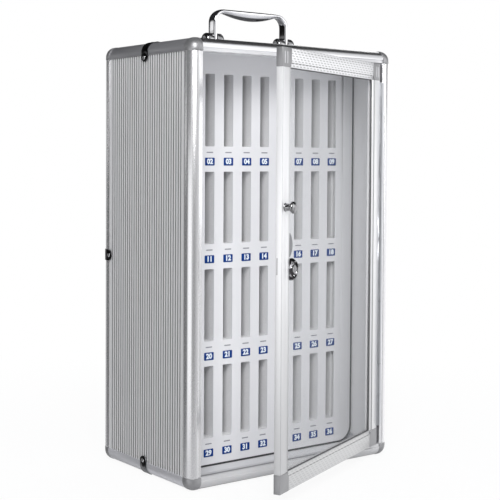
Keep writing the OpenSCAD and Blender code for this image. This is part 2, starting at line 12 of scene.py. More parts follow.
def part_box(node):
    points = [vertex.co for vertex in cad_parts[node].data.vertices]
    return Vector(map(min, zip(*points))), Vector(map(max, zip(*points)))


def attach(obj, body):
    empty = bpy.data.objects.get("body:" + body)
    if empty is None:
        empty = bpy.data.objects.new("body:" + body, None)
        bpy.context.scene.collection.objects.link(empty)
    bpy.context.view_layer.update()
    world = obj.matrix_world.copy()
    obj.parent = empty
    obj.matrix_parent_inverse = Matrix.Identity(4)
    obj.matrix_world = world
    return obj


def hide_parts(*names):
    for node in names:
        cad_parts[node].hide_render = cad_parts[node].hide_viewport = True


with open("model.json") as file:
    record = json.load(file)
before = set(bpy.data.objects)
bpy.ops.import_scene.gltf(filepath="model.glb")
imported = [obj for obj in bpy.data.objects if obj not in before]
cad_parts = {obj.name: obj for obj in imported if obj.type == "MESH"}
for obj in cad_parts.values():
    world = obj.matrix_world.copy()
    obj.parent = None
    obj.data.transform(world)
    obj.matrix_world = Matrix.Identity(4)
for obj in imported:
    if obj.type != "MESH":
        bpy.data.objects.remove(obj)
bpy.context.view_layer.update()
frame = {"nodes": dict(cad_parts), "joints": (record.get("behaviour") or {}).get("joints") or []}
NODES = frame["nodes"]
JOINTS = {joint["name"]: joint for joint in frame["joints"]}
IMAGE_SIDE = 500

bl_info = {
    "name": "Slotted storage cabinet",
    "version": (1, 0, 0),
    "blender": (4, 5, 0),
    "location": "View3D > Sidebar > Cabinet",
    "description": "Builds the visible pieces of a slotted cabinet with a clear door around its packed frame",
    "category": "Object",
}

MM = 0.001


# ---- sizes and colours that a user would change ----
def length(name, description, default):
    return bpy.props.FloatProperty(
        name=name, description=description, default=default, unit="LENGTH", precision=5, min=0.0
    )


def colour(name, description, default):
    return bpy.props.FloatVectorProperty(
        name=name, description=description, default=default, size=3, subtype="COLOR", min=0.0, max=1.0
    )


class CabinetSizes(bpy.types.PropertyGroup):
    """Sizes of the visible pieces, in metres."""

    edge_softness: length("Edge softness", "Width of the fine bevel on sharp edges", 0.35 * MM)
    column_pitch: length("Column pitch", "Distance between slot centres across", 27.8 * MM)
    row_pitch: length("Row pitch", "Distance between slot centres up and down", 118.5 * MM)
    slot_width: length("Slot width", "Width of a slot", 14 * MM)
    slot_height: length("Slot height", "Height of a slot", 88 * MM)
    grid_height: length("Grid height", "Height of the middle of the slots", 262.8 * MM)
    insert_corner: length("Insert corner", "Radius of the slotted insert's corners", 20 * MM)
    plate_height: length("Plate height", "Height of a number plate", 9.5 * MM)
    plate_drop: length("Plate drop", "From the slot down to the number plate", 13.6 * MM)
    plate_thickness: length("Plate thickness", "Thickness of a number plate", 0.5 * MM)
    digit_height: length("Digit height", "Size of the figures on the plates", 8.6 * MM)
    mark_width: length("Mark width", "Length of the thin line above each plate", 9.5 * MM)
    mark_height: length("Mark height", "Height of the thin line", 1.4 * MM)
    mark_drop: length("Mark drop", "From the slot down to the thin line", 7.2 * MM)
    bead_width: length("Bead width", "Width of the lower bead next to the pane", 5 * MM)
    knob_radius: length("Knob radius", "Radius of the knob's head", 6.5 * MM)
    lock_radius: length("Lock radius", "Radius of the lock plate", 12.3 * MM)
    grip_thickness: length("Grip thickness", "Thickness of the grip in its middle", 12.3 * MM)
    strap_thickness: length("Strap thickness", "Thickness of the handle's legs", 5 * MM)
    handle_bend: length("Handle bend", "Outer radius of the handle's bends", 17 * MM)
    pane_face: bpy.props.FloatProperty(
        name="Pane face",
        description="Where the front of the pane lies with the door closed, from the middle of the case",
        default=-97.5 * MM,
        unit="LENGTH",
        precision=5,
    )
    open_angle: bpy.props.FloatProperty(
        name="Open angle",
        description="How far the door stands open in the frame",
        default=math.radians(24),
        subtype="ANGLE",
    )
    columns: bpy.props.IntProperty(name="Columns", description="Slots in a row", default=9, min=1)
    rows: bpy.props.IntProperty(name="Rows", description="Rows of slots", default=4, min=1)


class CabinetColours(bpy.types.PropertyGroup):
    """Colours of the finishes."""

    aluminium: colour("Aluminium", "Satin edge profiles", (0.94, 0.94, 0.955))
    door_aluminium: colour("Door aluminium", "Door frame profiles", (0.95, 0.95, 0.96))
    ribbed: colour("Ribbed sheet", "Ribbed panels of the case", (0.90, 0.90, 0.92))
    # painted shade: a darker copy of the aluminium for the profiles along the sides
    shaded_side_trim: colour("Side trim", "Profiles along the sides", (0.335, 0.335, 0.35))
    corner: colour("Corner pieces", "Cast corner pieces", (0.37, 0.37, 0.38))
    chrome: colour("Chrome", "Handle, knob and lock", (0.84, 0.84, 0.86))
    clip: colour("Edge straps", "Dark plated straps", (0.055, 0.055, 0.06))
    steel: colour("Steel", "Hinge, screws and cam", (0.42, 0.43, 0.45))
    insert: colour("Insert", "Moulded slotted panel", (0.80, 0.80, 0.82))
    foam: colour("Foam", "Grid and lining behind the slots", (0.84, 0.84, 0.85))
    plate: colour("Number plates", "Blue of the number plates", (0.003, 0.042, 0.225))
    figure: colour("Figures", "Figures on the plates", (0.88, 0.94, 1.0))
    mark: colour("Mark lines", "Thin line above each plate", (0.30, 0.30, 0.33))
    pane: colour("Pane", "Tint of the clear pane", (0.42, 0.44, 0.45))
    # the seal's tone, used also for dark pieces put in as painted shadow
    seal: colour("Seal", "Dark seal along the pane", (0.10, 0.10, 0.105))
    floor: colour("Floor", "Pale studio floor", (0.93, 0.93, 0.93))


def sizes():
    return bpy.context.scene.cabinet_sizes


def colours():
    return bpy.context.scene.cabinet_colours


# ---- shader maths as expressions ----
class Wire:
    """A socket in an expression; each operation adds its Math node."""

    def __init__(self, finish, socket):
        self.finish, self.socket = finish, socket

    def math(self, operation, *others):
        values = {i + 1: o for i, o in enumerate(others)}
        values[0] = self
        node = self.finish.add("ShaderNodeMath", {"operation": operation}, values)
        return self.finish.wire(node)

    def swapped(self, operation, first):
        node = self.finish.add("ShaderNodeMath", {"operation": operation}, {0: first, 1: self})
        return self.finish.wire(node)

    def __add__(self, other):
        return self.math("ADD", other)

    __radd__ = __add__

    def __mul__(self, other):
        return self.math("MULTIPLY", other)

    __rmul__ = __mul__

    def __sub__(self, other):
        return self.math("SUBTRACT", other)

    def __rsub__(self, other):
        return self.swapped("SUBTRACT", other)

    def __truediv__(self, other):
        return self.math("DIVIDE", other)

    def __rtruediv__(self, other):
        return self.swapped("DIVIDE", other)

    def __gt__(self, other):
        return self.math("GREATER_THAN", other)

    def __lt__(self, other):
        return self.math("LESS_THAN", other)

    def size(self):
        return self.math("ABSOLUTE")

    def span(self, low, high, out_low=0.0, out_high=1.0):
        node = self.finish.add(
            "ShaderNodeMapRange",
            {"interpolation_type": "SMOOTHSTEP"},
            {"Value": self, "From Min": low, "From Max": high, "To Min": out_low, "To Max": out_high},
        )
        return self.finish.wire(node)


class Finish:
    """A material, or the world, whose nodes are added one at a time."""

    def __init__(self, name, tree=None):
        self.material = None
        if tree is None:
            self.material = bpy.data.materials.new(name)
            self.material.use_nodes = True
            tree = self.material.node_tree
        self.tree = tree
        self.tree.nodes.clear()

    def add(self, kind, settings=None, values=None):
        """Adds one node: its settings first, then the values or links of its sockets."""
        node = self.tree.nodes.new(kind)
        for key, value in (settings or {}).items():
            if key == "stops":
                ramp = node.color_ramp
                for i, (place, tone) in enumerate(value):
                    stop = ramp.elements[i] if i < 2 else ramp.elements.new(place)
                    stop.position, stop.color = place, (*tone, 1.0)
            else:
                setattr(node, key, value)
        for key, value in (values or {}).items():
            self.feed(node.inputs[key], value)
        return node

    def feed(self, socket, value):
        if isinstance(value, Wire):
            self.tree.links.new(value.socket, socket)
        elif socket.type == "RGBA" and len(value) == 3:
            socket.default_value = (*value, 1.0)
        else:
            socket.default_value = value

    def wire(self, node, output=0):
        return Wire(self, node.outputs[output])

    def place(self, scale=None, turn=(0, 0, 0), shift=(0, 0, 0)):
        """Object coordinates, turned, then moved, then stretched along their new axes."""
        where = self.wire(self.add("ShaderNodeTexCoord"), "Object")
        if any(turn) or any(shift):
            settings = {"Vector": where, "Location": shift, "Rotation": turn}
            where = self.wire(self.add("ShaderNodeMapping", None, settings))
        if scale is not None:
            node = self.add("ShaderNodeVectorMath", {"operation": "MULTIPLY"}, {0: where, 1: tuple(scale)})
            where = self.wire(node)
        return where

    def axes(self, where=None):
        """The three parts of a vector, or of the Object coordinates."""
        node = self.add("ShaderNodeSeparateXYZ", None, {0: where or self.place()})
        return [self.wire(node, i) for i in range(3)]

    def noise(self, place, scale=1.0, detail=3.0, rough=0.5):
        values = {"Vector": place, "Scale": scale, "Detail": detail, "Roughness": rough}
        return self.wire(self.add("ShaderNodeTexNoise", None, values))

    def cloud(self, scale, detail=3.0):
        return self.noise(self.place(), scale, detail)

    def drawn(self, run, fine=900.0, coarse=3.0, detail=1.0, turn=(0, 0, 0)):
        """Fine lines along one axis."""
        stretch = [fine] * 3
        stretch[run] = coarse
        return self.noise(self.place(stretch, turn), 1.0, detail)

    def wipe(self):
        """Faint slanting streaks, as a cloth leaves them."""
        return self.noise(self.place((90, 90, 25), (0.3, 0.5, 0.2)), 1.0, 5.0, 0.65)

    def mottle(self, factor, tone, dark, light):
        """A tone that varies between two strengths."""
        return self.blend(factor, shade(tone, dark), shade(tone, light))

    def blend(self, factor, first, second, mode="MIX"):
        settings = {"data_type": "RGBA", "blend_type": mode}
        node = self.add("ShaderNodeMix", settings, {0: factor, 6: first, 7: second})
        return self.wire(node, 2)

    def bump(self, height, strength, distance):
        values = {"Strength": strength, "Distance": distance, "Height": height}
        return self.wire(self.add("ShaderNodeBump", None, values))

    def surface(self, values):
        """The Principled shader, linked to the output."""
        shader = self.add("ShaderNodeBsdfPrincipled", None, values)
        output = self.add("ShaderNodeOutputMaterial")
        self.tree.links.new(shader.outputs[0], output.inputs[0])
        return self.material


def shade(tone, factor):
    """The colour made darker or lighter."""
    return tuple(min(1.0, channel * factor) for channel in tone)


# ---- finishes ----
FINISHES = {}


def finish(work_out):
    """Wraps a function that works out the shader's values, so that each named finish is made once."""

    @functools.wraps(work_out)
    def made(name, *values, **options):
        if name not in FINISHES:
            f = Finish(name)
            FINISHES[name] = f.surface(work_out(f, *values, **options))
        return FINISHES[name]

    return made


@finish
def brushed(f, tone, run, metal, rough, step=None, polish=None):
    """Satin metal with drawing lines along one axis, painted shade on the face in front of a set depth, and
    painted shade with a more polished metal above a set height.
    """
    lines, cloud = f.drawn(run), f.cloud(9.0)
    tint = f.mottle(lines * 0.5 + cloud * 0.5, tone, 0.93, 1.042)
    # painted shade: a darker tone on the face in front of the set depth
    if step is not None:
        tint = f.blend(f.axes()[1] < step, tint, shade(tone, 0.38))
    # painted shade: a darker tone towards the top, where the metal is also more polished
    if polish is not None:
        height = f.axes()[2]
        tint = f.blend(height.span(polish - 2 * MM, polish + 7 * MM), tint, shade(tone, 0.6))
        metal = height.span(polish, polish + 3 * MM, 0.4, 0.96)
    return {
        "Base Color": tint,
        "Metallic": metal,
        "Roughness": lines.span(0.3, 0.7, rough - 0.03, rough + 0.05) + cloud * 0.03,
        "Normal": f.bump(lines, 0.05, 0.00002),
    }


def satin(node, run):
    """The finish of a case profile; those along the sides are duller and take painted shade, a darker tone,
    less dark on the lower ones.
    """
    if node.startswith("side"):
        # painted shade: the side profiles are darker, the lower ones less so
        trim = shade(colours().shaded_side_trim, 2.2 if "bottom" in node else 1.0)
        return brushed("satin_" + node, trim, run, 0.6, 0.30)
    low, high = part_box(node)
    # painted shade on the rear posts' front face and towards the top of the front top rail
    step = low.y + 0.8 * MM if node.startswith("rear_post") else None
    polish = high.z - 7.5 * MM if node == "front_rail_top" else None
    return brushed("satin_" + node, colours().aluminium, run, 0.84, 0.21, step=step, polish=polish)


@finish
def door_aluminium(
    f, run, across, joint, toward, side, bead=1.0, seam=0.0, dashes=0.0, depth=1.0, edge=0.0, foot=1.0
):
    """A door profile's finish, on coordinates turned back to the closed door.

    Lines run along it. Dashes, the seam at the bead's joint, the bead beyond it, the outer edge at
    the side and the fall towards the foot each have their strength; the darker bead, the dark outer edge and
    the fall towards the foot are painted shade, and a depth above one is painted light.
    """
    angle = sizes().open_angle
    # painted light: a depth above one makes a lighter copy of the tone, as on the lower rail
    tone = shade(colours().door_aluminium, depth)
    pin = Vector(JOINTS["door_hinge"]["pos_m"])
    closed = f.axes(f.place(turn=(0, 0, -angle), shift=pin - Matrix.Rotation(-angle, 3, "Z") @ pin))
    x, z = closed[0], closed[2]
    lines, cloud = f.drawn(run, turn=(0, 0, -angle)), f.cloud(9.0)
    tint = f.mottle(lines * 0.5 + cloud * 0.5, tone, 0.97, 1.02)
    row_pitch, dash_pitch, slant = 2.7 * MM, 8.6 * MM, 8.1 * MM
    if dashes:
        row = (z / row_pitch).math("FRACT")
        dash = (x / dash_pitch + z / slant).math("FRACT")
        tint = f.blend((row < 0.48) * (dash < 0.62) * dashes, tint, shade(tone, 0.40))
    beyond = (closed[across] - joint) * toward
    # painted shade: the bead beyond the joint is darker
    if bead < 1.0:
        tint = f.blend(beyond > 0.0, tint, shade(tone, bead))
    if seam:
        broken = (x / dash_pitch).math("FRACT").span(0.5, 0.6, 1.0, 0.35) if dashes else 1.0
        tint = f.blend((beyond.size() < 0.4 * MM) * seam * broken, tint, shade(tone, 0.25))
    # painted shade: a dark line along the outer edge
    if edge:
        outer = (x - side - 0.7 * MM).size()
        tint = f.blend((outer < 0.7 * MM) * edge, tint, shade(tone, 0.25))
    # painted shade: darker towards the foot
    if foot < 1.0:
        fall = f.blend(z.span(0.05, 0.34, 1.0, 0.0), (1.0, 1.0, 1.0), (foot, foot, foot))
        tint = f.blend(1.0, tint, fall, "MULTIPLY")
    return {
        "Base Color": tint,
        "Metallic": 0.42,
        "Roughness": lines.span(0.3, 0.7, 0.28, 0.36) + cloud * 0.03,
        "Normal": f.bump(lines, 0.05, 0.00002),
    }


@finish
def ribbed(f, across, half):
    """Upright ribbed sheet with painted shade down in its grooves; across is the axis through the sheet."""
    depth = half - f.axes()[across].size()
    # painted shade: a much darker tone down in the grooves
    groove_shade = depth.span(1.23 * MM, 1.6 * MM) * depth.span(2.6 * MM, 3.2 * MM, 1.0, 0.0)
    lining = depth.span(4.5 * MM, 5.2 * MM)
    lines, cloud = f.drawn(2, 1100.0, 10.0, 2.0), f.cloud(6.0)
    tone = colours().ribbed
    crest = f.mottle(lines * 0.5 + cloud * 0.5, tone, 0.92, 1.12)
    return {
        "Base Color": f.blend(lining, f.blend(groove_shade, crest, shade(tone, 0.14)), (0.70, 0.70, 0.71)),
        "Metallic": lining.span(0, 1, 0.5, 0.1),
        "Roughness": lines.span(0.3, 0.7, 0.30, 0.42),
        "Normal": f.bump(lines, 0.12, 0.00006),
    }


@finish
def base_sheet(f):
    """The matt inside of the base."""
    cloud = f.cloud(8.0)
    return {
        "Base Color": f.mottle(cloud, colours().aluminium, 0.74, 0.80),
        "Roughness": cloud.span(0.3, 0.7, 0.55, 0.62),
        "Specular IOR Level": 0.2,
    }


@finish
def front_sill(f):
    """The lower front profile, matt, darker than the other profiles as painted shade, with a painted shadow
    line along its top.
    """
    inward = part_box("front_rail_bottom")[1].y - f.axes()[1]
    # painted shadow: a dark line along the top, next to the base
    groove_shade = inward.span(5.6 * MM, 6.6 * MM) * inward.span(10.0 * MM, 11.0 * MM, 1.0, 0.0)
    cloud = f.cloud(8.0)
    tone = colours().aluminium
    return {
        # painted shade: a darker tone than the other profiles
        "Base Color": f.blend(groove_shade, f.mottle(cloud, tone, 0.69, 0.77), shade(tone, 0.30)),
        "Metallic": 0.5,
        "Roughness": cloud.span(0.3, 0.7, 0.42, 0.48),
    }


@finish
def cast(f, highlight_lift=1.0):
    """Cast metal with a fine grit; a tone factor above one gives a lighter copy of the tone, a painted
    highlight.
    """
    cloud = f.cloud(60.0)
    return {
        "Base Color": f.mottle(cloud, shade(colours().corner, highlight_lift), 0.88, 1.15),
        "Metallic": 0.72,
        "Roughness": cloud.span(0.3, 0.7, 0.36, 0.46),
        "Normal": f.bump(f.cloud(1600.0), 0.18, 0.00008),
    }


@finish
def plated(f, tone, rough=0.07, scuffs=0.10, base=None):
    """Polished plating with faint wiping marks, in another tone near the base if one is given; on the straps
    that tone is a lighter, painted reflection.
    """
    wipe = f.wipe()
    tint = f.mottle(wipe, tone, 0.93, 1.06)
    # painted reflection: another tone near the base
    if base is not None:
        tint = f.blend(f.axes()[2] < 60 * MM, tint, base)
    return {
        "Base Color": tint,
        "Metallic": 1.0,
        "Roughness": wipe.span(0.45, 0.8, rough, rough + scuffs),
        "Normal": f.bump(f.cloud(900.0, 2.0), 0.03, 0.00002),
    }


def bright_plating():
    return plated("bright_plating", colours().chrome)


# painted reflection: a darker copy of the chrome for the knob and the lock plug
def smoked_plating():
    return plated("smoked_plating", shade(colours().chrome, 0.45))


def zinc_steel():
    return plated("zinc_steel", colours().steel, 0.28, 0.16)


@finish
def bail_plating(f, high):
    """Bright plating, with painted shade on the grip's underside and inside the bends."""
    x, _, z = f.axes()
    strap, bend = sizes().strap_thickness, sizes().handle_bend
    flat = high.x - bend
    out = (x.size() - flat).math("MAXIMUM", 0.0)
    rise = (z - (high.z - bend)).math("MAXIMUM", 0.0)
    reach = (out * out + rise * rise).math("SQRT")
    belly = (1.0 - (x / flat) * (x / flat)).math("MAXIMUM", 0.0) * (sizes().grip_thickness - strap)
    # painted shade: a dark tone on the grip's underside and inside the bends
    underside_shade = (bend - 0.9 * strap - belly * 0.45 - reach).span(0.0, 0.8 * MM)
    wipe = f.wipe()
    tone = colours().chrome
    return {
        "Base Color": f.blend(underside_shade, f.mottle(wipe, tone, 0.93, 1.06), shade(tone, 0.16)),
        "Metallic": 1.0,
        "Roughness": wipe.span(0.45, 0.8, 0.06, 0.14),
    }


@finish
def lock_plating(f, centre):
    """Bright plating with painted light: dark patches and a darker band towards the rim as painted
    reflections, and painted shade in the pit round the plug.
    """
    angle = sizes().open_angle
    back = -(Matrix.Rotation(-angle, 3, "Z") @ centre)
    x, _, z = f.axes(f.place(turn=(0, 0, -angle), shift=back))
    radius = (x * x + z * z).math("SQRT") / MM
    # painted reflection towards the rim, painted shade in the pit, and dark patches of painted reflection
    rim = radius.span(8.0, 8.7)
    pit = radius.span(6.3, 6.7) * radius.span(7.6, 8.0, 1.0, 0.0)
    dark_reflection_patches = f.noise(f.place(shift=(0.4, 0.1, 0.0)), 170.0, 1.5).span(0.48, 0.52)
    dark = (rim * 0.45 + pit * 0.7 + dark_reflection_patches * 0.92).math("MINIMUM", 0.98)
    wipe = f.noise(f.place(), 300.0, 3.0, 0.6)
    return {
        "Base Color": f.blend(dark, shade(colours().chrome, 1.15), (0.035, 0.03, 0.032)),
        "Metallic": 1.0,
        "Roughness": wipe.span(0.3, 0.7, 0.06, 0.13),
        "Normal": f.bump(wipe, 0.04, 0.0001),
    }


@finish
def moulded(f, tone, rough=0.42, gleam=0.5, dull=None):
    """Moulded plastic with a fine grain, and painted shade, a darker tone, between two places to the right if
    they are given.
    """
    pits = f.cloud(900.0, 2.0)
    tint = f.mottle(f.cloud(12.0), tone, 0.975, 1.02)
    # painted shade: a darker tone between the two places
    if dull is not None:
        tint = f.blend(f.axes()[0].span(*dull), tint, shade(tone, 0.74))
    return {
        "Base Color": tint,
        "Roughness": pits.span(0.35, 0.65, rough - 0.04, rough + 0.06),
        "Specular IOR Level": gleam,
        "Normal": f.bump(pits, 0.10, 0.00005),
    }


# the pane's seal, and also the dark fillers put in as painted shadow at the hinge's ends
def seal_rubber():
    return moulded("seal_rubber", colours().seal, 0.55, 0.3)


@finish
def foam(f):
    """Open-celled foam, with painted shade further into the slots."""
    cells = f.wire(f.add("ShaderNodeTexVoronoi", {"feature": "F1"}, {"Vector": f.place(), "Scale": 900.0}))
    # painted shade: darker further into the slots
    depth_shade = (f.axes()[1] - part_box("slot_panel")[0].y).span(8 * MM, 20 * MM)
    tone = colours().foam
    pale = f.mottle(cells * 0.5 + f.cloud(30.0) * 0.5, tone, 0.85, 1.15)
    return {
        "Base Color": f.blend(depth_shade, pale, shade(tone, 0.74)),
        "Roughness": 0.85,
        "Normal": f.bump(cells, 0.35, 0.0002),
    }


@finish
def clear_pane(f):
    """Thin clear sheet with faint smears."""
    smear = f.noise(f.place((7, 7, 3), (0.2, 0.0, 0.4)), 1.0, 4.0, 0.6)
    return {
        "Base Color": (*colours().pane, 1.0),
        "Roughness": smear.span(0.4, 0.8, 0.03, 0.10),
        "Alpha": smear.span(0.3, 0.8, 0.05, 0.09),
        "IOR": 1.49,
    }


# ---- modelling helpers ----
def object_mode():
    if bpy.context.object and bpy.context.object.mode != "OBJECT":
        bpy.ops.object.mode_set(mode="OBJECT")


def deselect():
    object_mode()
    bpy.ops.object.select_all(action="DESELECT")


def take(piece):
    """Makes the piece the only selected and active object."""
    deselect()
    piece.select_set(True)
    bpy.context.view_layer.objects.active = piece


def edit(piece):
    take(piece)
    bpy.ops.object.mode_set(mode="EDIT")


def pick(piece, kind, test):
    """In edit mode, selects only the faces or edges that pass the test."""
    bpy.ops.mesh.select_mode(type=kind)
    bpy.ops.mesh.select_all(action="DESELECT")
    mesh = bmesh.from_edit_mesh(piece.data)
    mesh.normal_update()
    for element in {"FACE": mesh.faces, "EDGE": mesh.edges}[kind]:
        if test(element):
            element.select_set(True)
    mesh.select_flush_mode()
    bmesh.update_edit_mesh(piece.data)


def settle(piece):
    """Applies the place, so that the object sits at the origin."""
    take(piece)
    bpy.ops.object.transform_apply(location=True, rotation=True, scale=True)
    return piece


def turned(piece, matrix):
    """Carries the finished shape to its place by a rigid motion."""
    piece.matrix_world = matrix
    return settle(piece)


def cube(name, low, high):
    """A box between two corners, as the start of a piece."""
    deselect()
    low, high = Vector(low), Vector(high)
    bpy.ops.mesh.primitive_cube_add(size=1, location=(low + high) / 2)
    piece = bpy.context.object
    piece.name = piece.data.name = name
    piece.scale = high - low
    return settle(piece)


def round_corners(piece, radius):
    """Rounds the corners of a flat piece that faces the front."""
    edit(piece)
    pick(piece, "EDGE", lambda e: abs((e.verts[0].co - e.verts[1].co).normalized().y) > 0.9)
    bpy.ops.mesh.bevel(offset=radius, segments=3, affect="EDGES")


def soften(piece, width, segments=2):
    """Bevels the sharp edges."""
    take(piece)
    modifier = piece.modifiers.new("soft edges", "BEVEL")
    modifier.width, modifier.segments = width, segments
    modifier.limit_method, modifier.angle_limit = "ANGLE", math.radians(35)
    modifier.miter_outer = "MITER_ARC"
    modifier.use_clamp_overlap = True
    bpy.ops.object.modifier_apply(modifier=modifier.name)
    return piece


def smooth(piece, angle=32.0):
    take(piece)
    bpy.ops.object.shade_smooth_by_angle(angle=math.radians(angle))
    return piece


def join(name, pieces):
    deselect()
    for piece in pieces:
        piece.select_set(True)
    bpy.context.view_layer.objects.active = pieces[0]
    bpy.ops.object.join()
    piece = bpy.context.object
    piece.name = piece.data.name = name
    return piece


def new_copy(name, source):
    """A linked object with its own copy of a mesh."""
    piece = bpy.data.objects.new(name, source.data.copy())
    bpy.context.scene.collection.objects.link(piece)
    return piece


def repeated(name, pattern, places):
    """One piece made of a copy of the pattern at each place; the pattern itself goes."""
    copies = [turned(new_copy(name, pattern), place) for place in places]
    bpy.data.objects.remove(pattern)
    return join(name, copies)


def rings(name, stations, closed=False):
    """Extrudes a ring of points from station to station, with capped ends unless it is closed."""
    deselect()
    bpy.ops.mesh.primitive_circle_add(vertices=len(stations[0]), radius=1, fill_type="NOTHING")
    piece = bpy.context.object
    piece.name = piece.data.name = name
    for vertex, point in zip(piece.data.vertices, stations[0]):
        vertex.co = point
    edit(piece)
    bpy.ops.mesh.select_mode(type="VERT")
    bpy.ops.mesh.select_all(action="SELECT")
    if not closed:
        bpy.ops.mesh.edge_face_add()
        bpy.ops.mesh.select_all(action="SELECT")
    for station in stations[1:]:
        bpy.ops.mesh.extrude_region_move()
        mesh = bmesh.from_edit_mesh(piece.data)
        lifted = sorted((v for v in mesh.verts if v.select), key=lambda v: v.index)
        for vertex, point in zip(lifted, station):
            vertex.co = point
        bmesh.update_edit_mesh(piece.data)
    bpy.ops.mesh.select_all(action="SELECT")
    bpy.ops.mesh.remove_doubles(threshold=1e-7)
    bpy.ops.mesh.normals_make_consistent(inside=False)
    object_mode()
    return piece


def lathe(name, profile, sides=40, closed=False):
    """A turned piece about +Z; the profile lists (radius, height) in millimetres from end to end."""
    turns = [math.tau * i / sides for i in range(sides)]
    stations = [[Vector((r * math.cos(a), r * math.sin(a), h)) * MM for a in turns] for r, h in profile]
    return rings(name, stations, closed)


def aim(origin, direction):
    """Places local +Z along a direction and local +Y as near upright as it goes."""
    z = Vector(direction).normalized()
    y = Vector((0, 0, 1)) - z * z.z
    if y.length < 1e-6:
        y = Vector((0, 1, 0)) - z * z.y
    y.normalize()
    matrix = Matrix((y.cross(z), y, z)).transposed().to_4x4()
    matrix.translation = Vector(origin)
    return matrix


def door_swing():
    """From the closed door to its place in the frame."""
    pin = Vector(JOINTS["door_hinge"]["pos_m"])
    return Matrix.Translation(pin) @ Matrix.Rotation(sizes().open_angle, 4, "Z") @ Matrix.Translation(-pin)


def door_front():
    """The way the door's face looks in the frame."""
    return door_swing().to_3x3() @ Vector((0, -1, 0))


def closed_box(node):
    """Lowest and highest corner of a door node, seen with the door closed."""
    back = door_swing().inverted()
    points = [back @ vertex.co for vertex in NODES[node].data.vertices]
    return [Vector([extreme(p[i] for p in points) for i in range(3)]) for extreme in (min, max)]


def dressed(node, name, softness=None):
    """A merged, smooth copy of a CAD node with softened edges."""
    piece = new_copy(name, NODES[node])
    piece.data.name = name
    edit(piece)
    bpy.ops.mesh.select_all(action="SELECT")
    bpy.ops.mesh.remove_doubles(threshold=2e-6)
    bpy.ops.mesh.dissolve_limited(angle_limit=math.radians(0.6))
    object_mode()
    if softness:
        soften(piece, softness)
    return smooth(piece)


def done(piece, body, slot, material, *nodes):
    """Gives the piece its finish and body, and hides the nodes that it stands for."""
    piece.data.materials.clear()
    piece.data.materials.append(material)
    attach(piece, body)
    if nodes:
        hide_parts(*nodes)


def stand_in(node, name, body, slot, material, softness=None):
    """A dressed copy of the node in a better finish, in the node's place."""
    done(dressed(node, name, softness), body, slot, material, node)


def carry(node, material):
    """A better finish on a CAD node whose shape stays."""
    mesh = NODES[node].data
    if not mesh.materials:
        mesh.materials.append(material)
    for i in range(len(mesh.materials)):
        mesh.materials[i] = material


# ---- stage ----
# brightness of the studio's walls by compass angle, as polished metal shows them
WALLS = (
    (0, 1.0), (46, 1.0), (54, 0.12), (62, 0.12), (80, 0.28), (104, 0.45), (114, 0.02), (161, 0.02),
    (169, 1.0), (211, 1.0), (218, 0.14), (250, 0.14), (260, 0.36), (278, 0.42), (285, 1.0),
    (320, 1.0), (326, 0.55), (336, 0.55), (343, 1.0),
)
WHITE = (1.0, 1.0, 1.0)
# name, place, diameter and power of each lamp
LAMPS = (
    ("key", (-1.5, -2.1, 2.0), 1.5, 57.0),
    ("fill", (2.0, -1.8, 0.9), 1.4, 5.0),
    ("back", (2.6, 1.9, 1.5), 1.6, 12.0),
)
LAMP_TARGET = Vector((0, 0, 0.28))
CAMERA_PLACE = Vector((-0.9056568, -1.2075534, 0.3860541))
FOCAL_PIXELS, SHIFT_PIXELS, SENSOR_WIDTH = 1182.59, -55.0, 36.0
YAW, PITCH, ROLL = 0.6453, 0.0335, 0.0062


def mix_shaders(f, factor, first, second):
    mix = f.add("ShaderNodeMixShader", None, {0: factor})
    f.tree.links.new(first.outputs[0], mix.inputs[1])
    f.tree.links.new(second.outputs[0], mix.inputs[2])
    return mix


def add_floor():
    """A pale floor that fades to white for the camera and stays out of reflections."""
    deselect()
    bpy.ops.mesh.primitive_plane_add(size=14, location=(0, 0, 0))
    floor = bpy.context.object
    floor.name = "floor"
    settle(floor)
    f = Finish("floor")
    across, along, _ = f.axes()
    reach = (across * across + along * along).math("SQRT")
    tint = f.mottle(f.cloud(3.0, 2.0), colours().floor, 0.995, 1.005)
    pale = f.add("ShaderNodeBsdfDiffuse", None, {"Color": tint})
    white = f.add("ShaderNodeEmission", None, {"Color": WHITE, "Strength": 1.0})
    path = f.add("ShaderNodeLightPath")
    seen = reach.span(0.25, 0.85, 0.90, 1.0) * f.wire(path, "Is Camera Ray")
    paper = mix_shaders(f, seen, pale, white)
    mix = mix_shaders(f, f.wire(path, "Is Glossy Ray"), paper, f.add("ShaderNodeBsdfTransparent"))
    output = f.add("ShaderNodeOutputMaterial")
    f.tree.links.new(mix.outputs[0], output.inputs[0])
    floor.data.materials.append(f.material)


